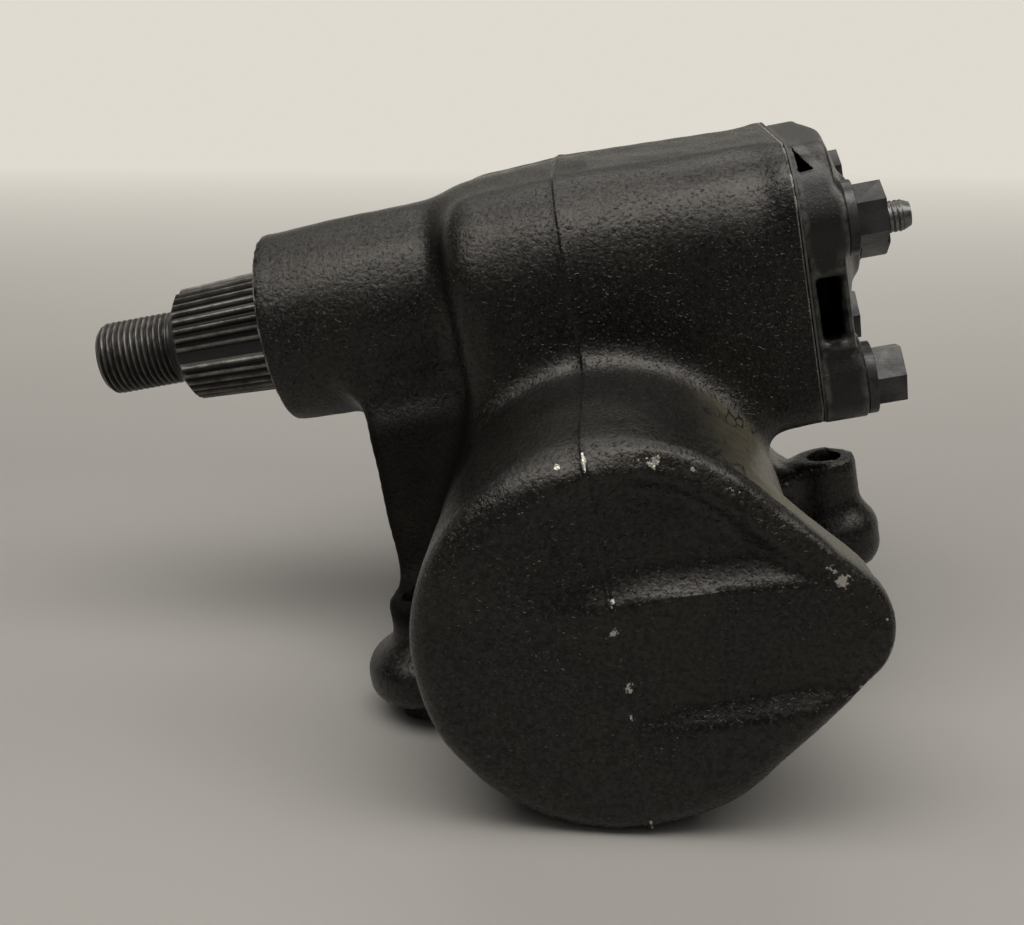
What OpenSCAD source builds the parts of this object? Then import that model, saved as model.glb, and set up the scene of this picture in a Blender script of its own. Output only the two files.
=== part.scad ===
// Manual steering gearbox, recirculating-ball type, in millimetres.
// Modelled in the gear's own axes: X along the sector shaft with the steering arm end at -X,
// Y along the worm with the closed end at -Y and the input at +Y, Z up along the lug holes.
// The sector axis and the casting's parting plane meet at the gear origin. The whole gear is
// then laid as it rests on a bench, on the barrel's underside and the two left feet.

/* [Layout] */
// Distance between the sector axis and the worm axis
shaft_gap = 57; // [55.5:0.5:58]
// Running clearance on the radius of a shaft
run_fit = 0.05; // [0.03:0.01:0.1]
// Clearance between pieces that pass each other
pass_gap = 0.4; // [0.3:0.05:0.6]

/* [Sector shaft] */
// Diameter of the thread for the arm nut
arm_thread_d = 19.05; // [17:0.05:20]
// Pitch of the arm thread
arm_pitch = 1.5875; // [1.25:0.0625:2]
// Length of the arm thread
arm_thread_len = 21; // [18:1:23]
// Length of the cone between thread and serrations
arm_cone_len = 3; // [2.5:0.5:5]
// Serration diameter at the small end
spline_small_d = 29.4; // [28.5:0.1:30]
// Serration diameter at the large end
spline_large_d = 31.75; // [30.5:0.05:31.9]
// Length of the serrations outside the boss
spline_len = 24.5; // [20:0.5:28]
// Number of serration places round the shaft
spline_count = 36; // [30:1:40]
// Depth of a serration
spline_depth = 1.1; // [0.8:0.1:1.3]
// Diameter of the journals in the boss
journal_d = 32; // [32:0.1:32.6]
// Diameter of the journal in the cover
cover_journal_d = 24; // [22:0.5:25]

/* [Sector and rack] */
// Pitch radius of the sector
pitch_r = 31; // [30.5:0.25:31.5]
// Module of the teeth
tooth_module = 4.5; // [4.3:0.1:4.6]
// Width of the sector along the shaft
sector_w = 26; // [22:1:28]
// Play between the tooth flanks
flank_play = 0.35; // [0.25:0.05:0.5]

/* [Worm and nut] */
// Turns of the worm for one turn of the sector
gear_ratio = 20; // [19:0.5:21]
// Outer radius of the worm
worm_r = 11.5; // [11:0.1:11.8]
// Radius of the circle through the ball centres
ball_circle_r = 13.4; // [13.2:0.1:13.6]
// Radius of a circuit ball
ball_r = 2.75; // [2.5:0.05:2.8]
// Length of the ball nut
nut_len = 62; // [60:1:64]
// Outer radius of the ball nut
nut_r = 21; // [20.5:0.25:21.5]
// Radius of the input stub
input_r = 8.7; // [8.2:0.1:9]
// Length of the input stub outside the adjuster
input_len = 38; // [30:1:45]

/* [Bearings] */
// Radius of the circle through the bearing balls
race_r = 12.5; // [12.3:0.1:12.7]
// Radius of a bearing ball
race_ball_r = 3; // [2.8:0.05:3.05]
// Number of balls in a bearing
race_count = 12; // [10:1:12]
// Outer radius of a bearing cup
cup_r = 19; // [18.5:0.25:19.5]

/* [Housing] */
// Reach of the boss from the parting plane
boss_reach = 79; // [77:0.5:81]
// Boss diameter at its end
boss_end_d = 49.2; // [48.5:0.2:50.4]
// Boss diameter at its root
boss_root_d = 52.6; // [51:0.2:53.6]
// Reach of the sector box on the boss side
box_left = 29.5; // [28.5:0.5:31]
// Reach of the sector box to the cover face
box_right = 53.5; // [52:0.5:55]
// Half width of the sector box along the worm
box_half = 41.5; // [41:0.5:44]
// Height of the sector box above the sector axis
box_top = 28; // [27.5:0.5:30]
// Depth of the sector box below the sector axis
box_bottom = 41.5; // [41:0.5:43]
// Radius of the upper corners of the sector box
box_corner = 16; // [13:1:18]
// Draft of the sector box between parting plane and cover
box_draft = 1.6; // [0.5:0.1:2]
// Radius of the worm barrel
barrel_r = 42.8; // [42:0.2:43.6]
// Distance of the barrel's front rim from the sector axis
rim_y = 100; // [98:0.5:102]
// Height of the end face in front of the rim
crown = 5; // [4:0.5:6]
// Distance of the barrel's back face from the sector axis
back_y = 74; // [73:0.5:77]
// Radius of the worm chamber
bore_r = 35.5; // [35.2:0.1:36]
// Sideways place of the swelling on the barrel
nose_x = 40.5; // [39:0.5:42]
// Drop of the swelling's centre below the worm axis
nose_drop = 4; // [2:0.5:6]
// Radius of the swelling
nose_r = 14.8; // [14:0.2:16]

/* [Mounting lugs] */
// Sideways place of the left lugs
left_lug_x = 48.5; // [47.5:0.5:50]
// Place of the front left lug along the worm
front_lug_y = -50; // [-53:1:-47]
// Place of the back left lug along the worm
back_lug_y = 44; // [40:1:48]
// Sideways place of the right lug
right_lug_x = 56; // [55:0.5:58]
// Place of the right lug along the worm
right_lug_y = -1; // [-4:1:4]
// Depth of the lug tops below the sector axis
lug_top = 60; // [58:0.5:62]
// Depth of the lug feet below the sector axis
lug_foot = 89; // [87:0.5:90]
// Radius of a lug at its top
lug_r = 7.8; // [7.4:0.1:8.6]
// Diameter of the holes in the lugs
lug_hole_d = 8.5; // [8:0.1:9]

/* [Cover and lash screw] */
// Thickness of the cover at its edge
cover_t = 8.5; // [7.5:0.25:9.5]
// Rise of the cover's hub above its edge
cover_rise = 7.6; // [7:0.2:9]
// Thickness of the gasket
gasket_t = 0.5; // [0.4:0.1:0.8]
// Distance of the cover bolts from the sides of the box
bolt_inset = 10.5; // [10.2:0.1:11]
// Diameter of the cover bolts
cover_bolt_d = 8; // [7.5:0.25:9]
// Width of the cover bolts' heads across flats
bolt_flats = 12.7; // [12.5:0.1:14]
// Height of the cover bolts' heads
bolt_head_h = 6.8; // [6:0.2:7.6]
// Diameter of the lash screw
lash_d = 8; // [7.5:0.1:8.4]
// Width of the lash locknut across flats
lash_flats = 15.9; // [15:0.1:16.5]
// Height of the lash locknut
lash_nut_h = 7; // [6.4:0.2:8]
// Length of the lash screw beyond its nut
lash_stub = 6.6; // [4:0.2:7]

/* [Hidden] */
$fn = 72;
over = 1;

// Sector shaft stations along X
spline_end = -boss_reach - 0.2;
spline_start = spline_end - spline_len;
cone_start = spline_start - arm_cone_len;
shaft_tip = cone_start - arm_thread_len;
journal_r = journal_d / 2;
bush_r = journal_r + 2.6;
seal_r = journal_r + 5;
hub_r = 19;
chamber_left = -20;
seal_seat = 9;
seal_len = 8.1;
seal_lip = 6;
seal_wall = 6;
bush_clear = 2;
bush_room = boss_reach - seal_seat - over + chamber_left - bush_clear;
outer_bush_len = 0.383 * bush_room;
inner_bush_len = 0.468 * bush_room;
cover_journal_r = cover_journal_d / 2;
shaft_right = box_right - 1.5;

// Sector and rack teeth
tooth_pitch = PI * tooth_module;
pressure = 20;
base_r = pitch_r * cos(pressure);
tip_r = pitch_r + tooth_module;
root_r = pitch_r - 1.2 * tooth_module;
rack_addendum = 0.78 * tooth_module;
rack_dedendum = 1.15 * tooth_module;
tooth_step = tooth_pitch / pitch_r * 180 / PI;
rack_line = shaft_gap - pitch_r;

// Worm, nut and bearings along Y
lead = 2 * PI * pitch_r / gear_ratio;
groove_r = ball_r + 0.45;
thread_half = 40;
low_ball_y = -90;
high_ball_y = 58;
race_in = race_r - race_ball_r - 0.1;
race_out = race_r + race_ball_r + 0.1;
cup_ring = 4;
cup_back = 4;
cup_bore = race_in + pass_gap;
low_cup_back = low_ball_y - race_ball_r - 0.2;
high_cup_back = high_ball_y + race_ball_r + 0.2;
collar_r = race_r + 0.1;
adjuster_r = 30;
adjuster_in = 54;
adjuster_out = back_y + 10;
locknut_h = 7;
input_tip = adjuster_out + input_len;
chamber_front = -91;
chamber_back = 52;

// Cover stations along X
cover_in = box_right + gasket_t;
cover_edge = cover_in + cover_t;
cover_out = cover_edge + cover_rise;
gasket_land = 3.1;
chamber_r = box_half - box_draft - gasket_land;
chamber_top_r = hub_r + 3.5;
chamber_split = -5;
spigot_r = cover_journal_r + 7;
cover_bush_r = cover_journal_r + 3;
hub_base_r = chamber_top_r + 2.5;
hub_top_r = lash_flats / 2 + 3.05;
window_in = 14.5;
window_w = 20;
window_h = 16.5;
window_low = 19.5;
top_window_at = box_top + 3;
top_window_w = 8;
top_window_len = 12;
spigot_in = box_right - 22;
lash_washer_t = 1.1;
lash_nut_in = cover_out + lash_washer_t;
lash_tip = lash_nut_in + lash_nut_h + lash_stub;
lash_head_r = 6.5;
lash_head_in = shaft_right - 9;
lash_head_h = 3.6;
bolt_washer_t = 2.4;
bolt_seat = cover_edge + 1.6;
bolt_len = 27;
bolt_boss_r = 8.8;
bolt_y = box_half - bolt_inset;
bolt_z = box_bottom - bolt_inset;
upper_bolt_z = 7.5;
// Place and turn of each cover bolt: two below and two above
cover_bolt_places = [for (z = [[-bolt_z, 21], [upper_bolt_z, 57]], s = [-1, 1]) [s * bolt_y, z[0], z[1]]];

// Lugs: foot radius and the contact ring of the foot
left_foot_r = 16.3;
right_foot_r = 11.4;
pad_r = 10.5;
foot_round = 3.5;
lug_places = [[-left_lug_x, front_lug_y], [-left_lug_x, back_lug_y], [right_lug_x, right_lug_y]];

// The rest on the bench: the barrel and the lower corners of the left feet touch it
foot_x = left_lug_x + pad_r;
foot_z = lug_foot - shaft_gap;
tilt = atan2(foot_x, foot_z) - acos(barrel_r / sqrt(foot_x * foot_x + foot_z * foot_z));
mid_x = (shaft_tip * cos(tilt) - arm_thread_d / 2 * sin(tilt)
         + lash_tip * cos(tilt) + lash_d / 2 * sin(tilt)) / 2 - shaft_gap * sin(tilt);
mid_y = (input_tip - rim_y - crown) / 2;

// Turns the gear frame to the bench, with the floor at zero
module at_rest() {
    translate([-mid_x, -mid_y, barrel_r]) rotate([0, -tilt, 0]) translate([0, 0, shaft_gap])
        children();
}

// Rods and outlines along the gear's axes
module rod_x(x0, x1, r, r2 = undef) {
    translate([x0, 0, 0]) rotate([0, 90, 0])
        cylinder(h = x1 - x0, r1 = r, r2 = is_undef(r2) ? r : r2);
}
module rod_y(y0, y1, r) {
    translate([0, y0, -shaft_gap]) rotate([-90, 0, 0]) cylinder(h = y1 - y0, r = r);
}
module ring_y(y0, y1, r0, r1) {
    translate([0, y0, -shaft_gap]) rotate([-90, 0, 0]) rotate_extrude()
        translate([r0, 0]) square([r1 - r0, y1 - y0]);
}
module ring_x(x0, x1, r0, r1) {
    translate([x0, 0, 0]) rotate([0, 90, 0]) rotate_extrude()
        translate([r0, 0]) square([r1 - r0, x1 - x0]);
}
module along_x(x0, x1) {
    translate([x0, 0, 0]) rotate([90, 0, 90]) linear_extrude(x1 - x0) children();
}
module along_y(y0, y1) {
    translate([0, y1, -shaft_gap]) rotate([90, 0, 0]) linear_extrude(y1 - y0) children();
}
module hex_x(x0, x1, flats, turn = 0) {
    translate([x0, 0, 0]) rotate([turn, 0, 0]) rotate([0, 90, 0])
        cylinder(h = x1 - x0, d = flats / cos(30), $fn = 6);
}

// Points of an arc, and the outline of the sector box drawn in by a draft
function arc(cx, cy, r, a0, a1, n) =
    [for (i = [0 : n]) let (a = a0 + (a1 - a0) * i / n) [cx + r * cos(a), cy + r * sin(a)]];
function box_outline(inset) = let (h = box_half - inset, t = box_top - inset, b = box_bottom - inset,
    c = box_corner, d = 9) concat(
    arc(h - c, t - c, c, 0, 90, 8), arc(c - h, t - c, c, 90, 180, 8),
    arc(d - h, d - b, d, 180, 270, 6), arc(h - d, d - b, d, 270, 360, 6));

// The barrel's outline with its swelling: two circles and their outer tangents
fade_front = -rim_y + 16;
fade_back = -rim_y + 58;
nose_gap = sqrt(nose_x * nose_x + nose_drop * nose_drop);
nose_dir = atan2(-nose_drop, nose_x);
nose_side = acos((barrel_r - nose_r) / nose_gap);
module teardrop(inset) {
    up = nose_dir + nose_side;
    down = nose_dir - nose_side;
    polygon(concat(arc(0, 0, barrel_r - inset, up, down + 360, 64),
        arc(nose_x, -nose_drop, nose_r - inset, down, up, 24)));
}

// The swelling alone, a little inside the outline, for the part that fades into the barrel
module swelling() {
    big = 0.96 * barrel_r;
    translate([nose_x, -nose_drop]) circle(r = nose_r - 0.3);
    polygon([[0.3 * nose_x, 0], [big * cos(nose_dir - nose_side), big * sin(nose_dir - nose_side)],
             [nose_x, -nose_drop], [big * cos(nose_dir + nose_side), big * sin(nose_dir + nose_side)]]);
}

// Sector box: one drafted block, widest at the parting plane, rounded towards the boss
module box_shape() {
    hull() {
        along_x(-box_left, -box_left + 0.4) polygon(box_outline(7));
        along_x(-box_left + 2.2, -box_left + 2.6) polygon(box_outline(3));
        along_x(-box_left + 7, -box_left + 7.4) polygon(box_outline(0.8));
        along_x(-0.2, 0.2) polygon(box_outline(0));
        along_x(box_right - 0.4, box_right) polygon(box_outline(box_draft));
    }
}

// Worm barrel with its crowned end face and the swelling that fades out towards the lug
module barrel_shape() {
    hull() {
        along_y(-rim_y, -rim_y + 0.6) teardrop(0.15);
        along_y(-rim_y - 0.45 * crown, -rim_y - 0.45 * crown + 0.1) teardrop(0.9);
        along_y(-rim_y - 0.85 * crown, -rim_y - 0.85 * crown + 0.1) teardrop(2.8);
        along_y(-rim_y - crown, -rim_y - crown + 0.1) teardrop(4.8);
    }
    along_y(-rim_y + 0.2, fade_front) teardrop(0);
    rod_y(fade_front - 6, back_y, barrel_r - 0.7);
    rod_y(back_y - 16, back_y, barrel_r);
    hull() {
        along_y(fade_front - 1, fade_front - 0.5) swelling();
        along_y(fade_back, fade_back + 0.5) translate([nose_x - 18, -nose_drop]) circle(r = nose_r - 2);
    }
}

// Fillet where the barrel leaves the front or back wall of the sector box
module neck_collar() {
    r = barrel_r - 0.3;
    f = 6;
    intersection() {
        translate([0, -box_half + 0.4, -shaft_gap]) rotate([90, 0, 0]) rotate_extrude()
            polygon(concat([[r - 4, -3], [r + f, -3]], arc(r + f, f, f, 270, 180, 8), [[r - 4, f]]));
        translate([-24, -box_half - 12, -36]) cube([68, 16, 40]);
    }
}

// Left lugs: a waisted column, a wide flare and a smaller pad that stands on the bench
module left_lug() {
    rotate_extrude() polygon([[0, -lug_top], [lug_r - 1, -lug_top], [lug_r, -lug_top - 1],
        [lug_r - 0.2, -lug_top - 9.5], [left_foot_r - 1.1, -lug_top - 15.5], [left_foot_r, -lug_top - 18],
        [left_foot_r, -lug_top - 19.5], [left_foot_r - 1.3, -lug_top - 22],
        [left_foot_r - 3.8, -lug_top - 23.8], [pad_r, -lug_top - 24.5], [pad_r, -lug_foot], [0, -lug_foot]]);
}

// Right lug: a straight column with a flared, rounded foot
module right_lug() {
    foot_r = right_foot_r;
    rotate_extrude() polygon([[0, -lug_top], [lug_r - 1, -lug_top], [lug_r, -lug_top - 1],
        [lug_r + 0.2, -lug_top - 14], [foot_r - 1.4, -lug_top - 18.5], [foot_r, -lug_top - 21],
        [foot_r, -lug_foot + 4.5], [foot_r - 1, -lug_foot + 2], [foot_r - foot_round, -lug_foot],
        [0, -lug_foot]]);
}

// Section of the chamber that takes the sector: the shaft's circle and the swing of the teeth
module chamber_section() {
    circle(r = chamber_top_r);
    intersection() {
        circle(r = chamber_r);
        translate([-chamber_r, -chamber_r]) square([2 * chamber_r, chamber_r + chamber_split]);
    }
}

// Recesses in the end face, above and below the raised band that runs to the swelling
module face_recesses() {
    intersection() {
        along_y(-rim_y - crown - over, -rim_y + 6) intersection() {
            teardrop(10);
            translate([-60, 11]) square([140, 60]);
        }
        translate([-16, -rim_y - crown, -shaft_gap - 10]) rotate([0, 0, 7])
            translate([0, -20, 0]) cube([90, 20, 80]);
    }
    intersection() {
        along_y(-rim_y - crown - over, -rim_y + 6) intersection() {
            teardrop(10);
            translate([-60, -77]) square([140, 60]);
        }
        translate([-10, -rim_y - crown, -shaft_gap - 90]) rotate([0, 0, 3.5])
            translate([0, -20, 0]) cube([90, 20, 80]);
    }
}

module housing() {
    color("#26282a") difference() {
        union() {
            box_shape();
            rod_x(-boss_reach + 1, -10, boss_end_d / 2, boss_root_d / 2);
            rod_x(-boss_reach, -boss_reach + 1, boss_end_d / 2 - 1, boss_end_d / 2);
            barrel_shape();
            neck_collar();
            mirror([0, 1, 0]) neck_collar();
            // Gusset from the boss down to the front left lug
            hull() {
                translate([-58.5, -16, -21]) cube([34, 22, 6]);
                translate([-left_lug_x - 5, front_lug_y + 5.4, -lug_top - 8]) cube([24, 10, 8]);
            }
            for (p = lug_places) {
                translate([p[0], p[1], 0]) if (p[0] < 0) left_lug(); else right_lug();
                translate([min(p[0], 0.62 * p[0]), p[1] - 7, -lug_foot + 4])
                    cube([0.38 * abs(p[0]), 14, lug_foot - lug_top - 6]);
            }
        }
        // Chamber for the sector, open towards the cover, and the worm chamber below it
        along_x(chamber_left, box_right + over) chamber_section();
        rod_y(chamber_front, chamber_back, bore_r);
        face_recesses();
        // Bearing seat in the closed end, adjuster thread in the open end
        rod_y(low_cup_back - cup_back, chamber_front + over, cup_r);
        rod_y(chamber_back - over, back_y + over, adjuster_r + run_fit);
        // Boss bore and seal seat
        rod_x(-boss_reach + seal_seat - over, chamber_left + over, bush_r);
        rod_x(-boss_reach - over, -boss_reach + seal_seat, seal_r);
        // Threaded holes for the cover bolts and in the lugs
        for (p = cover_bolt_places)
            translate([0, p[0], p[1]])
                rod_x(bolt_seat - bolt_len - 3, box_right + over, cover_bolt_d / 2 + run_fit);
        for (p = lug_places)
            translate([p[0], p[1], -lug_foot - over])
                cylinder(h = lug_foot - lug_top + 2 * over, d = lug_hole_d);
    }
}

module cover_gasket() {
    color("#3a3a36") difference() {
        along_x(box_right, cover_in) difference() {
            polygon(box_outline(box_draft));
            chamber_section();
        }
        for (p = cover_bolt_places)
            translate([0, p[0], p[1]])
                rod_x(box_right - over, cover_in + over, cover_bolt_d / 2 + 0.4);
    }
}

module side_cover() {
    color("#2b2d2f") difference() {
        union() {
            along_x(cover_in, cover_edge) polygon(box_outline(box_draft));
            rod_x(cover_edge, cover_out, hub_base_r, hub_top_r);
            rod_x(spigot_in, cover_in, spigot_r);
            for (p = cover_bolt_places)
                translate([0, p[0], p[1]]) rod_x(cover_edge - over, bolt_seat, bolt_boss_r);
        }
        // Bushing seat, room for the shaft end, thread of the lash screw
        rod_x(spigot_in - over, box_right - over, cover_bush_r);
        rod_x(box_right - 2 * over, cover_in + 3, cover_journal_r);
        rod_x(cover_in, cover_out + over, lash_d / 2 + run_fit);
        for (p = cover_bolt_places)
            translate([0, p[0], p[1]])
                rod_x(cover_in - over, bolt_seat + over, cover_bolt_d / 2 + 0.4);
        // Windows in the rim: between hub and lower bolts, and beside the top
        for (s = [-1, 1]) {
            translate([cover_in + 1.6, s > 0 ? box_half - window_in : window_in - window_w - box_half,
                -window_low]) cube([cover_t - 4.6, window_w, window_h]);
            translate([cover_in + 2, 0, 0]) rotate([s * 52, 0, 0])
                translate([0, -top_window_w / 2, top_window_at]) cube([cover_t - 4.5, top_window_w, top_window_len]);
        }
    }
}

module cover_bushing() {
    color("#b08d57") ring_x(spigot_in + 0.5, box_right - over, cover_journal_r + run_fit, cover_bush_r);
}

module cover_bolts() {
    color("#55585b") for (p = cover_bolt_places) translate([0, p[0], p[1]]) difference() {
        union() {
            rod_x(bolt_seat - bolt_len, bolt_seat + bolt_washer_t + over, cover_bolt_d / 2);
            intersection() {
                hex_x(bolt_seat + bolt_washer_t, bolt_seat + bolt_washer_t + bolt_head_h, bolt_flats, p[2]);
                rod_x(bolt_seat + bolt_washer_t, bolt_seat + bolt_washer_t + bolt_head_h + 3,
                    bolt_flats / 2 + 4.4, bolt_flats / 2 - 0.6);
            }
        }
        // Shallow dish in the head
        translate([bolt_seat + bolt_washer_t + bolt_head_h - 0.6, 0, 0])
            rod_x(0, 2, bolt_flats / 2 - 3.4);
    }
}

module cover_washers() {
    color("#4a4d50") for (p = cover_bolt_places) translate([0, p[0], p[1]])
        ring_x(bolt_seat, bolt_seat + bolt_washer_t, cover_bolt_d / 2 + 0.2, bolt_flats / 2 + 2.3);
}

module lash_screw() {
    color("#8b8f93") difference() {
        union() {
            rod_x(lash_head_in + pass_gap, lash_head_in + pass_gap + lash_head_h, lash_head_r);
            rod_x(lash_head_in + pass_gap + 1, lash_tip - 0.8, lash_d / 2);
            rod_x(lash_tip - 0.8, lash_tip, lash_d / 2, lash_d / 2 - 0.8);
        }
        // Slot for the screwdriver
        translate([lash_tip - 2.2, -0.7, -lash_d]) cube([4, 1.4, 2 * lash_d]);
    }
}

module lash_shim() {
    color("#9a9da0") ring_x(lash_head_in + pass_gap + lash_head_h, lash_head_in + pass_gap + lash_head_h + 0.6,
        lash_d / 2 + 0.2, lash_head_r - 0.2);
}

module lash_washer() {
    color("#6a6d70") ring_x(cover_out, lash_nut_in, lash_d / 2 + 0.2, lash_flats / 2 + 1.4);
}

module lash_locknut() {
    color("#5a5d60") difference() {
        intersection() {
            hex_x(lash_nut_in, lash_nut_in + lash_nut_h, lash_flats);
            rod_x(lash_nut_in, lash_nut_in + lash_nut_h + 3, lash_flats / 2 + 5, lash_flats / 2 - 0.8);
        }
        rod_x(lash_nut_in - over, lash_nut_in + lash_nut_h + over, lash_d / 2 + run_fit);
    }
}

// Involute flank of a sector tooth: half angle of the tooth at a radius
function inv(a) = tan(a) * 180 / PI - a;
function half_tooth(r) = (tooth_pitch / 2 - flank_play / 2) / 2 / pitch_r * 180 / PI
    + inv(pressure) - inv(acos(min(1, base_r / r)));
module sector_tooth() {
    steps = 7;
    radii = [for (i = [0 : steps]) max(base_r, root_r) + (tip_r - max(base_r, root_r)) * i / steps];
    right = [for (r = radii) [r * sin(half_tooth(r)), -r * cos(half_tooth(r))]];
    left = [for (i = [steps : -1 : 0]) [-right[i][0], right[i][1]]];
    foot = half_tooth(max(base_r, root_r));
    polygon(concat([[(root_r - 2) * sin(foot), -(root_r - 2) * cos(foot)]], right, left,
        [[-(root_r - 2) * sin(foot), -(root_r - 2) * cos(foot)]]));
}

// Thread on the arm end as a row of ridges
thread_turns = floor((arm_thread_len - 1) / arm_pitch);
thread_r = arm_thread_d / 2;
thread_root = thread_r - 0.6 * arm_pitch;
function thread_outline() = concat([[0, 0], [thread_root - 0.4, 0]],
    [for (i = [0 : thread_turns - 1], k = [0 : 2])
        [k == 1 ? thread_r : thread_root, 0.6 + (i + k * 0.5) * arm_pitch - (k == 2 ? 0.12 : 0)]],
    [[thread_root, arm_thread_len + 0.5], [0, arm_thread_len + 0.5]]);

// One cut along the tapered serrations: half width at its floor and at the top, lift of its floor
blind_turn = 3.4;
module serration_cut(slope, low, high, lift) {
    translate([spline_start - 3, 0, spline_small_d / 2 - spline_depth - 3 * tan(slope)])
        rotate([0, -slope, 0]) rotate([90, 0, 90]) linear_extrude(spline_len + 2.5)
            polygon([[-low, lift], [low, lift], [high, 2.2], [-high, 2.2]]);
}

module sector_shaft() {
    color("#3f4245") difference() {
        union() {
            translate([shaft_tip, 0, 0]) rotate([0, 90, 0]) rotate_extrude() polygon(thread_outline());
            rod_x(cone_start, spline_start, thread_r + 0.6, spline_small_d / 2);
            rod_x(spline_start, spline_end, spline_small_d / 2, spline_large_d / 2);
            rod_x(spline_end, chamber_left + 0.6, journal_r);
            rod_x(chamber_left + 0.5, sector_w / 2, hub_r);
            rod_x(0, shaft_right, cover_journal_r);
            along_x(-sector_w / 2, sector_w / 2) {
                intersection() {
                    circle(r = root_r);
                    polygon([[0, 0], [2 * root_r * sin(-1.4 * tooth_step), -2 * root_r * cos(1.4 * tooth_step)],
                        [0, -3 * root_r],
                        [2 * root_r * sin(1.4 * tooth_step), -2 * root_r * cos(1.4 * tooth_step)]]);
                }
                for (k = [-1 : 1]) rotate(k * tooth_step) sector_tooth();
            }
        }
        // Serrations, with every ninth tooth left out
        slope = atan2((spline_large_d - spline_small_d) / 2, spline_len);
        tooth_turn = 360 / spline_count;
        for (i = [0 : spline_count - 1]) rotate([(i + 0.5) * tooth_turn + blind_turn, 0, 0])
            serration_cut(slope, 0.25, 1.05, 0);
        for (i = [0 : 9 : spline_count - 1]) rotate([i * tooth_turn + blind_turn, 0, 0])
            serration_cut(slope, 0.9, 0.9, 0.12);
        // T-slot for the head of the lash screw
        translate([lash_head_in, -lash_head_r - pass_gap, -2 * cover_journal_r])
            cube([lash_head_h + 0.6 + 2 * pass_gap, 2 * (lash_head_r + pass_gap), 4 * cover_journal_r]);
        translate([lash_head_in + 2, -lash_d / 2 - pass_gap, -2 * cover_journal_r])
            cube([20, lash_d + 2 * pass_gap, 4 * cover_journal_r]);
    }
}

module boss_bushing_outer() {
    color("#b08d57") ring_x(-boss_reach + seal_seat + over,
        -boss_reach + seal_seat + over + outer_bush_len, journal_r + run_fit, bush_r);
}

module boss_bushing_inner() {
    color("#b08d57") ring_x(chamber_left - bush_clear - inner_bush_len,
        chamber_left - bush_clear, journal_r + run_fit, bush_r);
}

module sector_seal() {
    color("#1d1d1f") translate([-boss_reach + 0.8, 0, 0]) rotate([0, 90, 0]) rotate_extrude()
        polygon([[journal_r + run_fit, 1.6], [journal_r + 1.2, 0.9], [journal_r + 2.6, 1.6],
            [seal_r - 1, 0.2], [seal_r, 0.2], [seal_r, seal_len], [journal_r + 1, seal_len],
            [journal_r + run_fit, seal_lip]]);
}

// Turn of the ball path at a place along the worm
function path_turn(y) = 360 * (y + thread_half) / lead;
worm_points = 20;
function worm_section_r(a) = let (off = abs(a) * lead / 360)
    off < groove_r ? min(worm_r, ball_circle_r - sqrt(groove_r * groove_r - off * off)) : worm_r;

module worm_shaft() {
    color("#7d8286") {
        turns = 2 * thread_half / lead;
        translate([0, -thread_half, -shaft_gap]) rotate([-90, 0, 0])
            linear_extrude(2 * thread_half, twist = -360 * turns, slices = ceil(20 * turns),
                segments = worm_points, $fn = worm_points)
                polygon([for (i = [0 : worm_points - 1]) let (a = -180 + 360 * (i + 0.5) / worm_points)
                    [worm_section_r(a) * cos(a), worm_section_r(a) * sin(a)]]);
        rod_y(low_ball_y - race_ball_r + 0.2, -thread_half + 0.2, race_in);
        rod_y(low_ball_y + race_ball_r + 0.4, low_ball_y + race_ball_r + 7, collar_r);
        rod_y(thread_half - 0.2, adjuster_out + over, race_in);
        rod_y(high_ball_y - race_ball_r - 3.6, high_ball_y - race_ball_r - 0.4, collar_r);
        difference() {
            rod_y(adjuster_out, input_tip, input_r);
            // Flat for the coupling clamp on the input stub
            translate([-20, input_tip - 14, -shaft_gap + input_r - 1.2])
                cube([40, 30, 10]);
        }
    }
}

// Places of the balls in the two circuits, as distances along the worm from the nut's middle
circuit_y = [-11.5, 11.5];
balls_each = 20;
track_half = 10.5;
ball_step = lead / 14;
function ball_places() = [for (c = circuit_y, i = [0 : balls_each - 1])
    c + (i - (balls_each - 1) / 2) * ball_step];
module ball_set(r) {
    for (y = ball_places()) let (a = path_turn(y))
        translate([0, y, -shaft_gap]) rotate([-90, 0, 0])
            translate([ball_circle_r * cos(a), ball_circle_r * sin(a), 0]) sphere(r = r, $fn = 32);
}

module ball_nut() {
    color("#8a8f94") difference() {
        union() {
            rod_y(-nut_len / 2, nut_len / 2, nut_r);
            translate([-sector_w / 2, -nut_len / 2, -shaft_gap])
                cube([sector_w, nut_len, rack_line - rack_dedendum]);
            // Rack: four teeth with three spaces for the sector's teeth
            for (k = [-1.5 : 1 : 1.5]) translate([-sector_w / 2, k * tooth_pitch, -shaft_gap + rack_line])
                rotate([90, 0, 90]) linear_extrude(sector_w) {
                    w = (tooth_pitch / 2 - flank_play / 2) / 2;
                    t = tan(pressure);
                    polygon([[-w - (rack_dedendum + 1) * t, -rack_dedendum - 1],
                        [w + (rack_dedendum + 1) * t, -rack_dedendum - 1],
                        [w - rack_addendum * t, rack_addendum], [-w + rack_addendum * t, rack_addendum]]);
                }
        }
        rod_y(-nut_len / 2 - over, nut_len / 2 + over, worm_r + pass_gap);
        // Ball track of each circuit
        for (c = circuit_y) rod_y(c - track_half, c + track_half, ball_circle_r + ball_r + 0.15);
        // Flat seat for the guides on the right side, with a threaded hole for each clamp screw
        translate([nut_r - 2.5, -nut_len / 2 - over, -shaft_gap - 30]) cube([20, nut_len + 2 * over, 38]);
        for (y = [-1, 1])
            translate([nut_r - 8, y * clamp_y, -shaft_gap + guide_z]) rod_x(0, 10, 1.6 + run_fit);
    }
}

module circuit_balls() {
    color("#c9ccd0") ball_set(ball_r);
}

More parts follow.
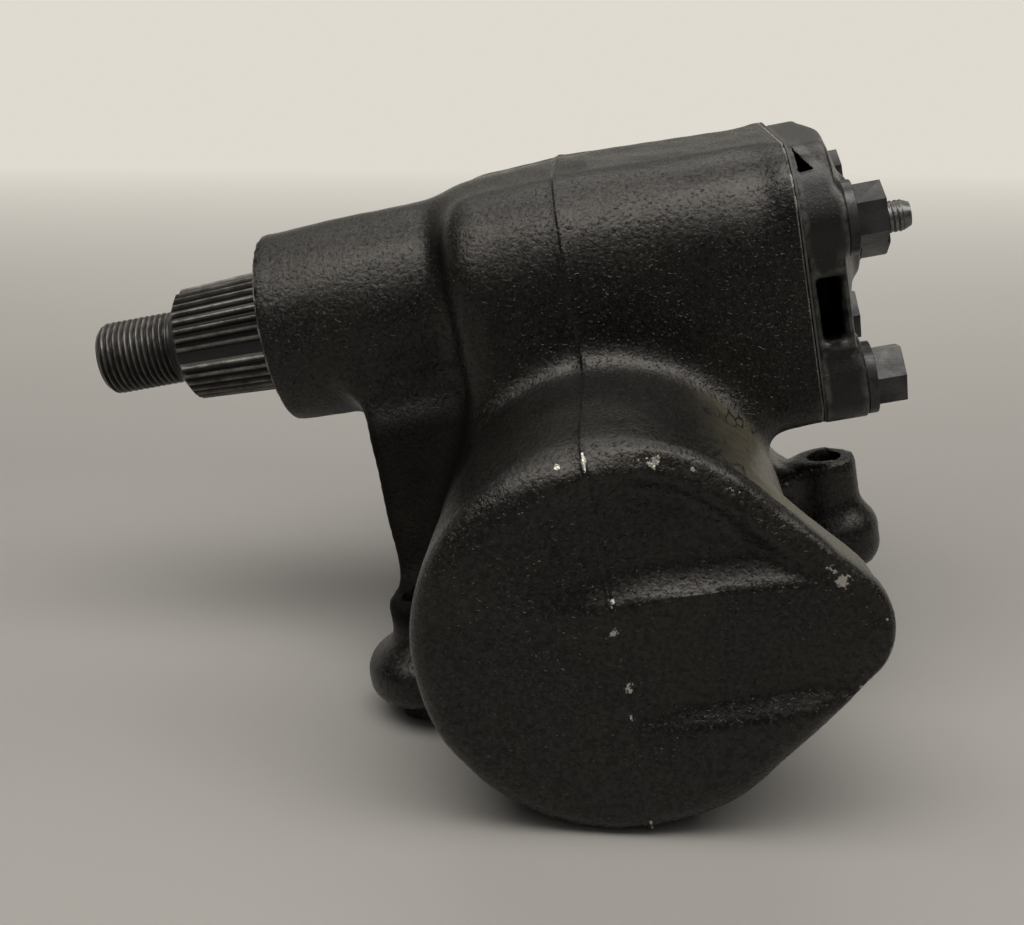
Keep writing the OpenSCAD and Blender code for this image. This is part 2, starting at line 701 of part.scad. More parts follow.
// Return guides: two bent tubes lying on the nut's flat
guide_r = 3.4;
guide_z = -8;
guide_half = 7.3;
clamp_y = 22.5;
flat_x = nut_r - 2.5;
module return_guides() {
    color("#9fa3a7") for (c = circuit_y)
        translate([flat_x, c, -shaft_gap + guide_z - guide_r]) linear_extrude(2 * guide_r)
            polygon([[0, -guide_half], [2 * guide_r, -guide_half + 4], [2 * guide_r, guide_half - 4],
                [0, guide_half]]);
}

module guide_clamp() {
    color("#777b7f") difference() {
        union() {
            translate([flat_x + 2 * guide_r, -clamp_y - 4, -shaft_gap + guide_z - 3.5])
                cube([1.4, 2 * clamp_y + 8, 7]);
            for (s = [-1, 1]) translate([flat_x, s * clamp_y - 3.4, -shaft_gap + guide_z - 3.5])
                cube([2 * guide_r + 0.2, 6.8, 7]);
        }
        for (s = [-1, 1])
            translate([flat_x - over, s * clamp_y, -shaft_gap + guide_z]) rod_x(0, 14, 1.8);
    }
}

module clamp_screws() {
    color("#5b5f63") for (s = [-1, 1])
        translate([flat_x, s * clamp_y, -shaft_gap + guide_z]) {
            rod_x(-5, 2 * guide_r + 1.5, 1.6);
            hex_x(2 * guide_r + 1.4, 2 * guide_r + 3.6, 5.5);
        }
}

// Bearing parts: cup, balls and cage, drawn for a ball plane and a side that the cup's back faces
module bearing_cup(y, side) {
    y0 = side < 0 ? low_cup_back - cup_back : high_cup_back;
    ring_y(y0, y0 + cup_back, cup_bore, cup_r);
    if (side < 0) ring_y(low_cup_back - 0.1, low_ball_y + cup_ring, race_out, cup_r);
    else ring_y(high_ball_y - cup_ring, high_cup_back + 0.1, race_out, cup_r);
}
module bearing_balls(y) {
    for (i = [0 : race_count - 1]) translate([0, y, -shaft_gap]) rotate([0, i * 360 / race_count, 0])
        translate([race_r, 0, 0]) sphere(r = race_ball_r, $fn = 32);
}
// The cage is a ring on the side of the worm's collar, with a pocket for each ball
module bearing_cage(y, side) {
    difference() {
        ring_y(side < 0 ? y + 0.8 : y - 4.4, side < 0 ? y + 4.4 : y - 0.8,
               collar_r + pass_gap, race_out - pass_gap);
        translate([0, y, -shaft_gap]) for (i = [0 : race_count - 1]) rotate([0, i * 360 / race_count, 0])
            translate([race_r, 0, 0]) sphere(r = race_ball_r + 0.05, $fn = 32);
    }
}
module lower_bearing_cup() { color("#8f9397") bearing_cup(low_ball_y, -1); }
module lower_bearing_balls() { color("#c9ccd0") bearing_balls(low_ball_y); }
module lower_bearing_cage() { color("#a58a55") bearing_cage(low_ball_y, -1); }
module upper_bearing_cup() { color("#8f9397") bearing_cup(high_ball_y, 1); }
module upper_bearing_balls() { color("#c9ccd0") bearing_balls(high_ball_y); }
module upper_bearing_cage() { color("#a58a55") bearing_cage(high_ball_y, 1); }

module bearing_adjuster() {
    color("#6f7377") difference() {
        rod_y(adjuster_in, adjuster_out, adjuster_r);
        rod_y(adjuster_in - over, high_cup_back + cup_back, cup_r);
        rod_y(adjuster_in, adjuster_out + over, cup_bore + 1);
        rod_y(adjuster_out - 7, adjuster_out + over, cup_bore + seal_wall);
        // Pin holes for the spanner
        for (a = [0 : 90 : 270]) translate([0, adjuster_out - 5, -shaft_gap]) rotate([0, a + 45, 0])
            translate([23, 0, 0]) rotate([-90, 0, 0]) cylinder(h = 6, r = 2.6);
    }
}

module adjuster_locknut() {
    color("#4d5053") difference() {
        ring_y(back_y, back_y + locknut_h, adjuster_r + run_fit, adjuster_r + 8);
        for (a = [0 : 45 : 315]) translate([0, back_y - over, -shaft_gap]) rotate([0, a, 0])
            translate([adjuster_r + 5.4, 0, -3]) cube([8, locknut_h + 2 * over, 6]);
    }
}

module worm_seal() {
    color("#1d1d1f") ring_y(adjuster_out - 6.8, adjuster_out - 0.6,
        race_in + run_fit, cup_bore + seal_wall);
}

at_rest() housing();
at_rest() cover_gasket();
at_rest() side_cover();
at_rest() cover_bushing();
at_rest() cover_bolts();
at_rest() cover_washers();
at_rest() lash_screw();
at_rest() lash_shim();
at_rest() lash_washer();
at_rest() lash_locknut();
at_rest() sector_shaft();
at_rest() boss_bushing_outer();
at_rest() boss_bushing_inner();
at_rest() sector_seal();
at_rest() worm_shaft();
at_rest() ball_nut();
at_rest() circuit_balls();
at_rest() return_guides();
at_rest() guide_clamp();
at_rest() clamp_screws();
at_rest() lower_bearing_cup();
at_rest() lower_bearing_balls();
at_rest() lower_bearing_cage();
at_rest() upper_bearing_cup();
at_rest() upper_bearing_balls();
at_rest() upper_bearing_cage();
at_rest() bearing_adjuster();
at_rest() adjuster_locknut();
at_rest() worm_seal();
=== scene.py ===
import bmesh
import bpy
import numpy as np
from mathutils import Matrix


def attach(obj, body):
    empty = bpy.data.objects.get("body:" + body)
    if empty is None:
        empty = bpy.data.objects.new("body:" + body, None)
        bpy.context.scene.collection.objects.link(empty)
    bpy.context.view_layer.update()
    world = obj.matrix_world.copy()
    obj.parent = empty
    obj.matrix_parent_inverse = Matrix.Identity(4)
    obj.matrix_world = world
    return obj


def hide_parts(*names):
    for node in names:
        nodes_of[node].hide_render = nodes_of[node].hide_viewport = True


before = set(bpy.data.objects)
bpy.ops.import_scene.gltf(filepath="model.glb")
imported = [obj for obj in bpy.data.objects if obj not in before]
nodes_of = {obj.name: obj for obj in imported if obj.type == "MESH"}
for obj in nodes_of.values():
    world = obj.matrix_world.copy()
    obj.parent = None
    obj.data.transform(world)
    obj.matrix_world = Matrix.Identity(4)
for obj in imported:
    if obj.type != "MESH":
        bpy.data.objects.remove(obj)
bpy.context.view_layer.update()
scene = bpy.context.scene

# The gear's own axes in millimetres: X along the sector shaft, Y along the worm, Z up along the lug holes
TILT = np.radians(11.144134)
COS, SIN = np.cos(TILT), np.sin(TILT)
GAP = 57.0
SHIFT = np.array((32.596304, -8.5, 42.8))

# Sizes of the castings in millimetres: box, boss, barrel with its nose, lugs, cover
BOX_HALF, BOX_TOP, BOX_BOTTOM = 41.5, 28.0, 41.5
BOX_LEFT, FLANGE = -29.5, 53.5
UPPER_CORNER, LOWER_CORNER = 16.0, 9.0
BOSS_FACE, BOSS_R = -79.0, 24.6
BARREL_R, BARREL_FRONT, BARREL_BACK = 42.8, -105.0, 74.0
NOSE_REACH, NOSE_R = 40.7, 14.8
LUGS = ((-48.5, -50.0), (-48.5, 44.0), (56.0, -1.0))
FOOT, LUG_HOLE_R = -89.0, 4.25
COVER_BASE, COVER_INSET, COVER_TOP = 54.0, 2.7, 70.1
BOLTS = ((-31, -31), (31, -31), (-31, 7.5), (31, 7.5))
BOLT_HOLE_R, BOLT_CLEARANCE_R = 4.05, 4.4

# Bores of the housing in millimetres: sector chamber, worm bore and its two ends, sector shaft
PASSAGE_R, SWEEP_R, CHAMBER_LEFT = 22.5, 36.8, -20.0
WORM_BORE_R, LOWER_SEAT_R, ADJUSTER_R = 35.5, 19.0, 30.05
BUSHING_R, SEAL_R = 18.6, 21.0

# Spacing of the lattices that the cast skins are read on, in millimetres
HOUSING_STEP, COVER_STEP = 1.4, 0.85


def to_bench(p):
    """Gear millimetres to bench metres: the worm axis is the pivot, the gear leans about it by TILT
    and is set down."""
    x, y, z = p[..., 0], p[..., 1], p[..., 2] + GAP
    leant = np.stack((x * COS - z * SIN, y, x * SIN + z * COS), -1)
    return (leant + SHIFT) / 1000


# Meshes from whole arrays


def piece(name, points, faces, body, stands_for=(), sharp=38.0, marks=None, merge=True):
    """A piece from gear points (n, 3) and quads (m, 4): placed on the bench, doubles merged so that
    poles and seams close, shaded smooth with edges sharper than the given angle kept. marks are
    per-point values for the finish."""
    mesh = bpy.data.meshes.new(name)
    mesh.vertices.add(len(points))
    mesh.vertices.foreach_set("co", to_bench(points).ravel())
    faces = np.asarray(faces)
    mesh.loops.add(faces.size)
    mesh.loops.foreach_set("vertex_index", faces.ravel())
    mesh.polygons.add(len(faces))
    mesh.polygons.foreach_set("loop_start", np.arange(0, faces.size, faces.shape[1]))
    mesh.update(calc_edges=True)
    for key, value in (marks or {}).items():
        mesh.attributes.new(key, "FLOAT", "POINT").data.foreach_set("value", value.astype(np.float32))
    if merge:
        bm = bmesh.new()
        bm.from_mesh(mesh)
        bmesh.ops.remove_doubles(bm, verts=bm.verts, dist=2e-6)
        bmesh.ops.recalc_face_normals(bm, faces=bm.faces)
        bm.to_mesh(mesh)
        bm.free()
    mesh.shade_smooth()
    mesh.set_sharp_from_angle(angle=np.radians(sharp))
    ob = bpy.data.objects.new(name, mesh)
    scene.collection.objects.link(ob)
    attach(ob, body)
    if stands_for:
        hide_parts(*stands_for)
    return ob


def grid_faces(rows, columns):
    """Quads of a grid whose columns close on themselves: point (i, j) has the number i * columns +
    j."""
    i = np.arange(rows - 1)[:, None]
    j = np.arange(columns)[None, :]
    k = (j + 1) % columns
    a, b = i * columns + j, i * columns + k
    return np.stack((a, b, b + columns, a + columns), -1).reshape(-1, 4)


# Fields: each gives a distance in millimetres, below zero inside the metal


def blend(a, b, k):
    """The lesser of two distances, with the crease between them filled over a width k as in a
    casting."""
    h = np.clip(0.5 + 0.5 * (b - a) / k, 0, 1)
    return b + (a - b) * h - k * h * (1 - h)


def trim(a, b, k):
    """The greater of two distances, with the edge between them rounded over a width k."""
    return -blend(-a, -b, k)


def ramp(low, high, v):
    """Zero below low, one above high, and an even curve between them."""
    t = np.clip((v - low) / (high - low), 0, 1)
    return t * t * (3 - 2 * t)


def box_section(y, z, inset, upper=UPPER_CORNER):
    """Outline of the sector box drawn in by inset: a rectangle with its upper corners as given and
    smaller lower ones."""
    half, top, bottom = BOX_HALF - inset, BOX_TOP - inset, BOX_BOTTOM - inset
    mid, tall = (top - bottom) / 2, (top + bottom) / 2
    r = np.where(z > mid, upper, LOWER_CORNER)
    qy, qz = np.abs(y) - half + r, np.abs(z - mid) - tall + r
    return np.hypot(np.maximum(qy, 0), np.maximum(qz, 0)) + np.minimum(np.maximum(qy, qz), 0) - r


def sector_box(x, y, z):
    """Drafted box, widest at the parting plane, rounded over towards the boss and cut flat at the
    cover, with upper corners that grow rounder away from the cover."""
    inset = np.where(x < 0, -x * 0.8 / 22.5, x * 1.6 / FLANGE)
    corner = UPPER_CORNER + 6.5 * ramp(FLANGE - 0.3, FLANGE - 8.5, x)
    d = trim(box_section(y, z, inset, corner), BOX_LEFT - x, 10.0)
    return trim(d, x - FLANGE, 0.7)


def boss(x, y, z):
    """Tapered tube of the sector shaft with a lightly broken end edge."""
    d = np.hypot(y, z) - (BOSS_R + (x - BOSS_FACE) * 1.7 / 69)
    return np.maximum(trim(d, BOSS_FACE - x, 1.5), x - 4)


def drop_section(x, w, y, big):
    """Outline of the barrel with its swelling: the hull of a large circle and a small one that
    sinks in along Y."""
    fade = np.clip((y + 84) / 42, 0, 1)
    reach = NOSE_REACH - 18.0 * fade
    small = NOSE_R - 2.0 * fade
    ux, uw = 40.5 / 40.697, -4 / 40.697
    along = x * ux + w * uw
    side = np.abs(-x * uw + w * ux)
    b = np.minimum((big - small) / reach, 0.9999)
    a = np.sqrt(1 - b * b)
    k = a * along - b * side
    round_big = np.hypot(side, along) - big
    round_small = np.hypot(side, along - reach) - small
    flank = a * side + b * along - big
    return np.where(k < 0, round_big, np.where(k > a * reach, round_small, flank))


def face_dip(x, w, rim):
    """How far the end face lies behind its front plane: a band set back a little above a soft step,
    and a pocket set back further above a crisp crease, each fading out to the left of the parting
    plane and towards the rim."""
    climb = np.clip((w - 10.2 + 0.055 * x) / 7.0, 0, 1)
    pocket = (1 - (1 - climb) ** 2) * np.clip((x + 20) * 0.13, 0, 3.7) * ramp(-28, -4, x)
    band = ramp(-20.8, -14.2, w) * np.clip((x + 4) * 0.16, 0, 2.8)
    return pocket * ramp(-4.5, -10.5, rim) + band * ramp(0.5, -4.0, rim)


def barrel_outline(x, y, w):
    """Side of the worm barrel, with a lip round its front on the right and a straight ring at the
    back."""
    lip = 1.1 * ramp(-96.5, -92.5, y) * ramp(8, 30, x)
    big = BARREL_R - 0.7 * ramp(-90, -70, y) + 0.7 * ramp(57, 59, y)
    return drop_section(x, w, y, big) + lip


def end_face(x, y, w, outline):
    """Closed end of the barrel: slightly crowned, with its pockets."""
    crown = 0.42 * (np.hypot(x - 8, w) / 42.0) ** 2
    return BARREL_FRONT + crown + face_dip(x, w, outline) - y


def barrel(x, y, z):
    """Worm barrel: its outline along Y, rounded over into the end face, more widely above."""
    w = z + GAP
    outline = barrel_outline(x, y, w)
    wide = 6.4 + 4.6 * ramp(-28, -4, x) * ramp(46, 34, x) * ramp(-6, 12, w)
    return trim(trim(outline, end_face(x, y, w, outline), wide), y - BARREL_BACK, 1.0)


def web(x, y, z):
    """Plate from the boss down to the back of the front left lug, leaning forward and narrowing on
    its way."""
    t = np.clip((-18 - z) / 46, -0.1, 1.05)
    front, back = -22 - 22.6 * t, 6 - 40.6 * t
    side = -58.5 + 5.0 * t
    d = trim(0.84 * np.maximum(front - y, y - back), side - x, 2.5)
    return np.maximum(np.maximum(d, x + 26), np.maximum(-67 - z, z + 14))


def rounded_disc(out, z, radius, low, high, r):
    """Disc on an upright axis between two heights, with its rim rounded to r."""
    qr, qz = out - (radius - r), np.abs(z - (low + high) / 2) - ((high - low) / 2 - r)
    return np.hypot(np.maximum(qr, 0), np.maximum(qz, 0)) + np.minimum(np.maximum(qr, qz), 0) - r


def lug(x, y, z, cx, cy):
    """Upright mounting lug with a rib to the barrel: on the left a waisted column, a wide rounded
    flare and a smaller pad below it, on the right a straighter column with a rounded foot."""
    out = np.hypot(x - cx, y - cy)
    column = np.maximum(trim(out - 7.8, z + 60, 2.0), FOOT + 0.1 - z)
    if cx < 0:
        d = blend(column, rounded_disc(out, z, 16.3, -84.9, -72.3, 5.4), 7.0)
        d = blend(d, np.maximum(out - 10.5, np.maximum(z + 80, FOOT - z)), 1.0)
        rib = np.maximum(np.maximum(x + 28, cx - x), np.maximum(z + 63.5, -82 - z))
        rib = trim(np.abs(y - cy) - 6.4, rib, 2.5)
    else:
        d = blend(column, rounded_disc(out, z, 11.4, FOOT, -75.8, 4.4), 6.0)
        rib = np.maximum(np.maximum(30 - x, x - cx), np.maximum(z + 61.0, -84.5 - z))
        rib = trim(np.abs(y - cy) - 6.8, rib, 2.5)
    return np.maximum(blend(d, rib, 3.5), FOOT - z)


def waves(x, y, z):
    """Slow unevenness of the cast skin: a sum of three crossed sine waves."""
    long = np.sin(0.21 * x + 0.13 * y + 1.3) * np.sin(0.17 * y - 0.23 * z)
    middle = np.sin(0.31 * z + 0.11 * x) * np.sin(0.27 * y + 0.6)
    short = np.sin(0.47 * x - 0.41 * z + 2.0) * np.sin(0.38 * y + 0.29 * x)
    return 0.09 * (long + middle + 0.7 * short)


def casting(x, y, z):
    """Outside of the housing: box, boss, barrel, web and lugs run together with cast fillets, and a
    raised parting seam where the right half of the mould stands a little proud."""
    d = blend(sector_box(x, y, z), boss(x, y, z), 7.0)
    d = blend(d, barrel(x, y, z), 8.5)
    d = blend(d, web(x, y, z), 6.5)
    for cx, cy in LUGS:
        d = blend(d, lug(x, y, z, cx, cy), 11.0 if cx > 0 else 5.0)
    step = 0.25 * ramp(-0.9, 0.9, x) * ramp(34, 6, x) * ramp(-34, 4, z)
    seam = 0.38 * np.exp(-x ** 2) + step
    skin = ramp(FLANGE - 0.2, FLANGE - 3.5, x) * ramp(BOSS_FACE + 0.2, BOSS_FACE + 3, x)
    return d - (seam + waves(x, y, z)) * skin


def hollows(x, y, z):
    """What is cut out of the casting: sector chamber, worm bore, adjuster bore, boss bore, seal
    seat and holes."""
    w, rad = z + GAP, np.hypot(y, z)
    section = np.minimum(rad - PASSAGE_R, np.maximum(rad - SWEEP_R, z + 5))
    d = np.maximum(section, CHAMBER_LEFT - x)
    tube = np.hypot(x, w)
    d = np.minimum(d, np.maximum(tube - WORM_BORE_R, np.maximum(-91 - y, y - 52)))
    d = np.minimum(d, np.maximum(tube - LOWER_SEAT_R, np.maximum(-97.2 - y, y + 90)))
    d = np.minimum(d, np.maximum(tube - ADJUSTER_R, 51 - y))
    d = np.minimum(d, np.maximum(rad - BUSHING_R, x + 19))
    d = np.minimum(d, np.maximum(rad - SEAL_R, x + 70))
    for by, bz in BOLTS:
        d = np.minimum(d, np.maximum(np.hypot(y - by, z - bz) - BOLT_HOLE_R, 34.1 - x))
    for cx, cy in LUGS:
        d = np.minimum(d, np.maximum(np.hypot(x - cx, y - cy) - LUG_HOLE_R, z + 56))
    return d


def housing_field(x, y, z):
    """The casting less its hollows, with machined edges broken by a hair."""
    return trim(casting(x, y, z), -hollows(x, y, z), 0.5)


def slope(field, p, e=0.04):
    """Gradient of a field at points (n, 3), from differences a step e to each side."""
    g = np.empty_like(p)
    for k in range(3):
        off = np.zeros(3)
        off[k] = e
        g[:, k] = field(*(p + off).T) - field(*(p - off).T)
    return g / np.maximum(np.linalg.norm(g, axis=1, keepdims=True), 1e-9)


def level_skin(field, low, high, step):
    """Skin of the metal where field is below zero. The field is read on a lattice; each lattice
    edge that crosses zero gives a point and the slope there; the vertex of a cell is the point
    nearest to all the tangent planes of its crossings, so edges stay crisp; each crossing edge
    gives the quad between its four cells."""
    axes = [np.arange(a, b + step, step) for a, b in zip(low, high)]
    origin = np.array([a[0] for a in axes])
    yy, zz = np.meshgrid(axes[1], axes[2], indexing="ij")
    value = np.stack([field(np.full(yy.shape, x), yy, zz) for x in axes[0]])
    value[value == 0] = 1e-6
    cells = np.array(value.shape) - 1
    quads, owners, points, normals = [], [], [], []
    for axis in range(3):
        one = np.zeros(3, dtype=int)
        one[axis] = 1
        first = value[tuple(slice(0, -1) if k == axis else slice(None) for k in range(3))]
        second = value[tuple(slice(1, None) if k == axis else slice(None) for k in range(3))]
        at = np.argwhere((first < 0) != (second < 0))
        v0, v1 = first[tuple(at.T)], second[tuple(at.T)]
        p = origin + step * (at + (v0 / (v0 - v1))[:, None] * one)
        a, b = np.eye(3, dtype=int)[(axis + 1) % 3], np.eye(3, dtype=int)[(axis + 2) % 3]
        around = np.stack((at, at - a, at - a - b, at - b), 1)
        ring = (around[..., 0] * cells[1] + around[..., 1]) * cells[2] + around[..., 2]
        quads.append(np.where((v0 < 0)[:, None], ring, ring[:, ::-1]))
        owners.append(ring)
        points.append(p)
        normals.append(slope(field, p))
    owners = np.concatenate(owners)
    ids, where = np.unique(owners, return_inverse=True)
    where = where.reshape(owners.shape)
    p, n = np.repeat(np.concatenate(points), 4, 0), np.repeat(np.concatenate(normals), 4, 0)
    flat, count = where.ravel(), np.bincount(where.ravel())

    def gather(v):
        return np.bincount(flat, v, len(ids))

    mean = np.stack([gather(p[:, k]) for k in range(3)], -1) / count[:, None]
    lean = np.stack([[gather(n[:, i] * n[:, j]) for j in range(3)] for i in range(3)]).transpose(2, 0, 1)
    gap = (n * (p - mean[flat])).sum(1)
    pull = np.stack([gather(n[:, k] * gap) for k in range(3)], -1)
    spot = mean + np.linalg.solve(lean + 0.06 * count[:, None, None] * np.eye(3), pull[..., None])[..., 0]
    cell = np.stack((ids // (cells[1] * cells[2]), ids // cells[2] % cells[1], ids % cells[2]), -1)
    corner = origin + step * cell
    spot = np.clip(spot, corner - 0.15 * step, corner + 1.15 * step)
    return spot, np.searchsorted(ids, np.concatenate(quads))


def skin_marks(field, p, reach=3.0):
    """Marks for a cast finish: edge is high on corners that stand out, nook is high in corners that
    lie in."""
    n = slope(field, p, 0.3)
    inner = -field(*(p - reach * n).T)
    outer = field(*(p + reach * n).T)
    return {"edge": np.clip(1 - inner / reach, 0, 1), "nook": np.clip(1 - outer / reach, 0, 1)}


def wear_marks(p):
    """Marks by place: rim is high along the ridge round the end face, most at its top and right,
    where it also steers painted highlight; a pale film on the upper side of the swelling between that
    ridge and the right lug, partly dust and partly painted light; and painted shade on the web under
    the boss."""
    x, y, w = p[:, 0], p[:, 1], p[:, 2] + GAP
    outline = barrel_outline(x, y, w)
    ridge = np.exp(-((outline - end_face(x, y, w, outline)) / 2.4) ** 2) * (outline > -5)
    # A pale film on the upper side of the swelling: partly dust, partly painted light on that
    # upward-facing side
    dust_and_light = ramp(20, 37, x) * ramp(-95, -91, y) * ramp(-2, -12, y)
    dust_and_light = dust_and_light * ramp(-2, 6, w) * ramp(2.5, 0.5, outline)
    # The rim counts most at its top and right, where its glints and bright chips are painted highlight on
    # the rounded ridge
    top = np.maximum(ramp(-5, 25, w) * ramp(-27, -12, x), 0.8 * ramp(38, 46, x))
    # Painted shade on the web under the boss, laid on by dulling its gloss
    shade_under_boss = ramp(-24, -30, x) * ramp(39, 30, w) * ramp(-14, -6, w) * ramp(-72, -58, y)
    return {"rim": ridge * (0.6 + 0.4 * top), "dust_and_light": dust_and_light, "shade_under_boss": shade_under_boss}


def make_housing():
    """The cast housing from its field, with the marks that steer wear, dirt, painted highlight and
    painted shade.
    """
    p, quads = level_skin(housing_field, (-82, -108, -102), (70, 77, 31), HOUSING_STEP)
    marks = skin_marks(casting, p) | wear_marks(p)
    return piece("housing_casting", p, quads, "case", ("housing",), 42.0, marks, False)


# Side cover


def cover_field(x, y, z):
    """Side cover: a plate set in a little from the flange, domed towards the lash screw, with four
    round bolt columns, walls drawn in between the columns with a window in each, a small three-
    cornered recess over each upper column, and the bores for bolts, bushing and screw."""
    rad = np.hypot(y, z)
    crown = 62.8 + 5.2 * ramp(34, 11, rad)
    d = trim(box_section(y, z, COVER_INSET), x - crown, 1.8)
    d = trim(d, np.minimum(np.abs(y) - 37.6, 54.3 - x), 0.3)
    hub = trim(rad - (12.0 + (COVER_TOP - x) * 0.6), x - COVER_TOP, 1.2)
    d = blend(np.maximum(d, COVER_BASE - x), np.maximum(hub, COVER_BASE - x), 3.0)
    for s in (-1, 1):
        side = np.maximum(np.abs(z + 11.5) - 7.6, 22.5 - s * y)
        d = trim(d, -trim(side, np.abs(x - 58.2) - 2.7, 1.6), 1.4)
        slant = x - 58.3 + 0.70 * (z - 20.3)
        sill = 20.3 + 0.5 * (s * y - 34.3) - z
        recess = np.maximum(np.maximum(slant, 55.3 - x), np.maximum(sill, 20.0 - s * y))
        d = trim(d, -recess, 0.7)
    for by, bz in BOLTS:
        over = np.clip(z - bz, 0, 2.0 if bz < 0 else 0.6)
        column = trim(np.hypot(y - by, z - bz - over) - 9.1, x - 64.1, 0.9)
        d = blend(d, np.maximum(column, COVER_BASE - x), 1.6)
    d = np.minimum(d, np.maximum(rad - 19.0, np.maximum(31.5 - x, x - 56)))
    d = np.maximum(d, -np.maximum(rad - 15.0, x - 52.5))
    d = np.maximum(d, -np.maximum(rad - 12.0, x - 57.0))
    d = np.maximum(d, -(rad - BOLT_HOLE_R))
    for by, bz in BOLTS:
        d = np.maximum(d, -(np.hypot(y - by, z - bz) - BOLT_CLEARANCE_R))
    return d


def make_cover():
    """The side cover from its field, with painted shade marked inside its windows and recesses."""
    p, quads = level_skin(cover_field, (29, -43, -43), (73, 43, 29), COVER_STEP)
    inward = box_section(p[:, 1], p[:, 2], COVER_INSET)
    # Painted shade: how far a place lies inside the windows and recesses, which the finish paints near
    # black
    recess_shade = ramp(-2.5, -6.0, inward) * ramp(62.4, 61.6, p[:, 0])
    marks = skin_marks(cover_field, p, 2.0) | {"recess_shade": recess_shade}
    return piece("cover_casting", p, quads, "case", ("side_cover",), 40.0, marks, False)


# Sector shaft with its cut thread and serrations

# Stations along the arm end in millimetres: tip, foot of the cone, start and end of the serrations, and
# the place inside the boss where the CAD shaft takes over
TIP, CONE, TEETH, BOSS_END, SHAFT_CUT = -127.7, -106.7, -103.7, -79.2, -64.0
ARM_PITCH, SERRATIONS, BLIND_EVERY = 1.5875, 36, 9
# Threaded end of the lash screw: the station where the CAD screw ends, its tip, and the pitch
STUB_CUT, STUB_TIP, STUB_PITCH = 74.0, 84.8, 1.25


def shaft_radius(x, turn):
    """Radius of the arm end at a station and a turn, and how high the place stands between groove
    and crest: a helical V thread with a chamfered tip, a bare cone, and tapered serrations in
    thirty-six places with every ninth tooth left out."""
    phase = (x - TIP) / ARM_PITCH - turn / (2 * np.pi)
    tooth = np.clip((np.abs((phase % 1.0) * 2 - 1) - 0.08) / 0.78, 0, 1)
    runout = ramp(CONE - 1.9, CONE - 0.7, x)
    thread = (8.72 + 0.8 * tooth) * (1 - runout) + 8.85 * runout
    thread = np.minimum(thread, 8.2 + (x - TIP) * 0.9)
    cone = 10.1 + 4.6 * (x - CONE) / (TEETH - CONE)
    place = (turn - np.radians(3.4)) * SERRATIONS / (2 * np.pi)
    nearest = np.floor(place + 0.5)
    groove = ramp(0.04, 0.44, np.abs(place - nearest))
    groove = np.where(nearest % BLIND_EVERY == 0, 1.0, groove) * ramp(BOSS_END - 0.1, BOSS_END - 0.9, x)
    body = 14.7 + 1.175 * np.clip((x - TEETH) / (BOSS_END - TEETH), 0, 1) - 1.2 * groove
    body = np.minimum(body, cone)
    on_thread = np.where(runout > 0.5, 0.3, tooth)
    on_body = np.where(x < TEETH - 0.4, 0.45, 1 - groove)
    radius = np.where(x < CONE, thread, np.where(x > BOSS_END, 16.0, body))
    return radius, np.where(x < CONE, on_thread, on_body)


def make_shaft():
    """The arm end as a grid of stations and turns, closed at both ends, joined to the CAD shaft
    inside the boss."""
    count = 432
    turn = np.arange(count) * 2 * np.pi / count
    stations = np.concatenate((
        np.arange(TIP, CONE - 0.05, 0.15), (CONE - 0.01, CONE + 0.01),
        np.arange(CONE + 0.3, TEETH + 0.4, 0.3), np.arange(TEETH + 0.6, BOSS_END - 1.2, 1.9),
        np.arange(BOSS_END - 1.0, BOSS_END, 0.25), (BOSS_END - 0.01, BOSS_END + 0.01, SHAFT_CUT)))
    x, a = np.meshgrid(np.unique(np.round(stations, 4)), turn, indexing="ij")
    r, crest = shaft_radius(x, a)
    zero = np.zeros((1, count))
    r = np.concatenate((zero, 0.55 * r[:1], r, zero))
    crest = np.concatenate((zero + 0.3, zero + 0.3, crest, zero))
    x = np.concatenate((x[:1], x[:1], x, x[-1:]))
    a = np.concatenate((a[:1], a[:1], a, a[-1:]))
    p = np.stack((x, r * np.cos(a), r * np.sin(a)), -1).reshape(-1, 3)
    return piece("sector_arm_end", p, grid_faces(len(x), count), "sector", (), 34.0,
                 {"crest": crest.ravel()})


def make_stub():
    """Threaded end of the lash screw outside its nut: a helical V thread with a chamfered tip, as a
    grid."""
    count = 96
    stations = np.arange(STUB_CUT, STUB_TIP + 0.01, 0.12)
    x, a = np.meshgrid(stations, np.arange(count) * 2 * np.pi / count, indexing="ij")
    tooth = np.abs(((x / STUB_PITCH - a / (2 * np.pi)) % 1.0) * 2 - 1)
    r = np.minimum(3.78 + 0.26 * np.clip((tooth - 0.1) / 0.8, 0, 1), 3.0 + (STUB_TIP - x) * 0.45)
    zero = np.zeros((1, count))
    r = np.concatenate((zero, r, zero))
    x, a = np.concatenate((x[:1], x, x[-1:])), np.concatenate((a[:1], a, a[-1:]))
    p = np.stack((x, r * np.cos(a), r * np.sin(a)), -1).reshape(-1, 3)
    return piece("lash_stub", p, grid_faces(len(x), count), "case", (), 34.0)


